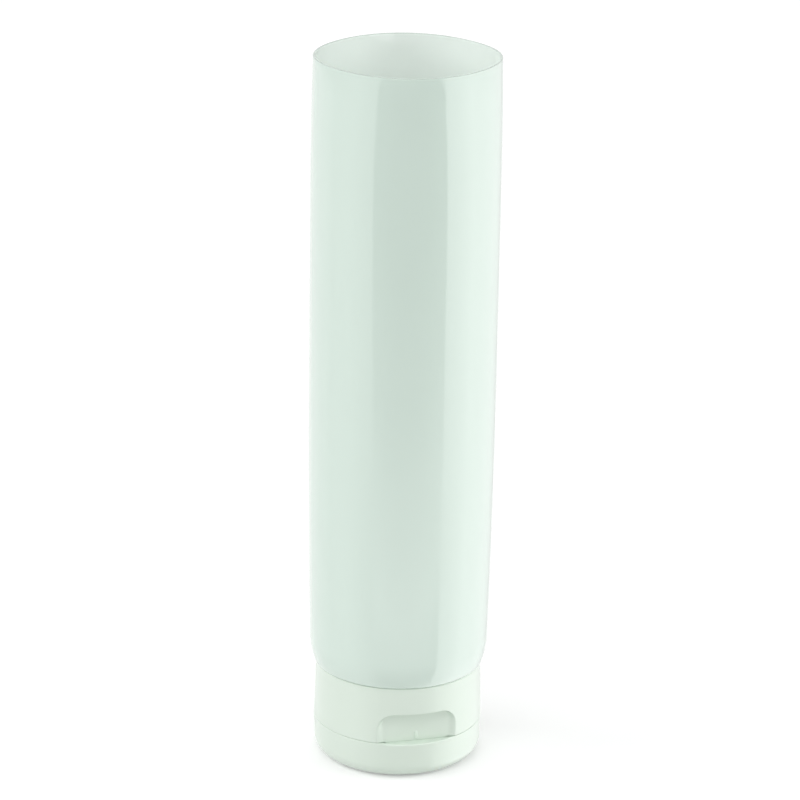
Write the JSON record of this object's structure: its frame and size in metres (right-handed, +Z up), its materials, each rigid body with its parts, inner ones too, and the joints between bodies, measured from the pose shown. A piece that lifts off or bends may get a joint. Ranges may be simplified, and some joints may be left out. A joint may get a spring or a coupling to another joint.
{
  "type": "plastic squeeze tube",
  "caption": "Open-ended glossy plastic squeeze tube with a rounded shoulder, standing on its closed flip-top cap with a thumb recess.",
  "frame": {"origin": "centre of the lid's flat resting face", "axes": "+Z up along the tube to its open end, -Y towards the thumb recess, +Y towards the lid's hinge"},
  "size_m": [0.05, 0.05, 0.194],
  "materials": {
    "tube_plastic": "glossy moulded polyethylene",
    "cap_plastic": "satin moulded polypropylene"
  },
  "bodies": {
    "cap": {"cap_base": "cap_plastic", "hinge_web": "cap_plastic"},
    "lid": {"cap_lid": "cap_plastic"},
    "tube": {"tube": "tube_plastic"}
  },
  "joints": [
    {"name": "lid_flip", "type": "hinge", "parent": "cap", "child": "lid", "pos_m": [0, 0.02175, 0.0105], "axis": [1, 0, 0], "range_deg": [0, 180], "deforming": ["hinge_web"]},
    {"name": "tube_unscrew", "type": "slide", "parent": "cap", "child": "tube", "axis": [0, 0, 1], "range_m": [0, 0.018]}
  ]
}
